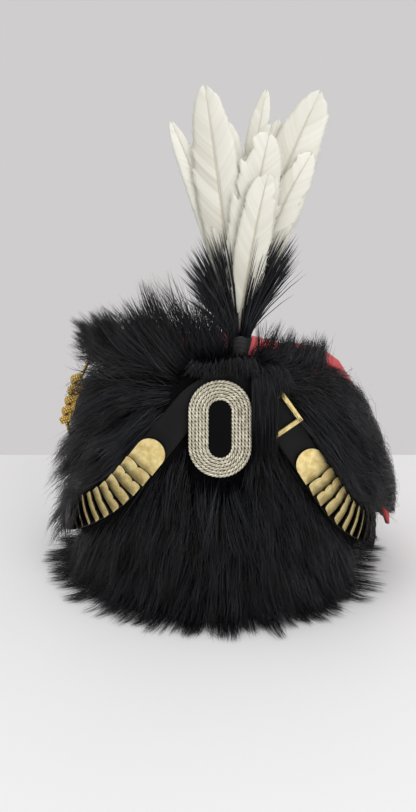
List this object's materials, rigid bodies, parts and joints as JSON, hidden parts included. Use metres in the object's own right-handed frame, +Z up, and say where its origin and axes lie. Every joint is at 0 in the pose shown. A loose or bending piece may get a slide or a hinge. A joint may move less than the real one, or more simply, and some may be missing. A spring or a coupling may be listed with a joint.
{
  "type": "busby",
  "caption": "Tall parade hat of long black fur with a red cloth bag, a corded cockade, a feather plume and a brass-scaled chin strap over the front.",
  "frame": {"origin": "on the floor, under the middle of the hat's overall box", "axes": "+Z up, -Y out of the hat's front with the cockade, +X to the viewer's right, where the bag hangs"},
  "size_m": [0.2853, 0.2956, 0.3384],
  "materials": {
    "crown_felt": "matt stiffened felt",
    "bag_cloth": "matt woollen cloth",
    "black_fur": "long glossy fur",
    "strap_leather": "satin finished leather",
    "brass": "polished, slightly tarnished",
    "silver_cord": "twisted metal thread",
    "black_velvet": "velvet",
    "black_thread": "waxed thread",
    "white_feather": "soft feather",
    "black_hair": "glossy horsehair",
    "gold_cord": "gold thread"
  },
  "bodies": {
    "root": {"crown_body": "crown_felt", "bag": "bag_cloth", "fur": "black_fur", "strap": "strap_leather", "strap_buckle": "brass", "end_plate_left": "brass", "end_plate_right": "brass", "cockade_board": "black_velvet", "cockade_cord": "silver_cord", "plume_binding": "black_thread", "plume_feathers": "white_feather", "plume_hair": "black_hair", "side_plait": "gold_cord", "scale_left_1": "brass", "scale_left_2": "brass", "scale_left_3": "brass", "scale_left_4": "brass", "scale_left_5": "brass", "scale_left_6": "brass", "scale_left_7": "brass", "scale_left_8": "brass", "scale_left_9": "brass", "scale_left_10": "brass", "scale_left_11": "brass", "scale_left_12": "brass", "scale_right_1": "brass", "scale_right_2": "brass", "scale_right_3": "brass", "scale_right_4": "brass", "scale_right_5": "brass", "scale_right_6": "brass", "scale_right_7": "brass", "scale_right_8": "brass", "scale_right_9": "brass", "scale_right_10": "brass", "scale_right_11": "brass", "scale_right_12": "brass"}
  },
  "joints": []
}
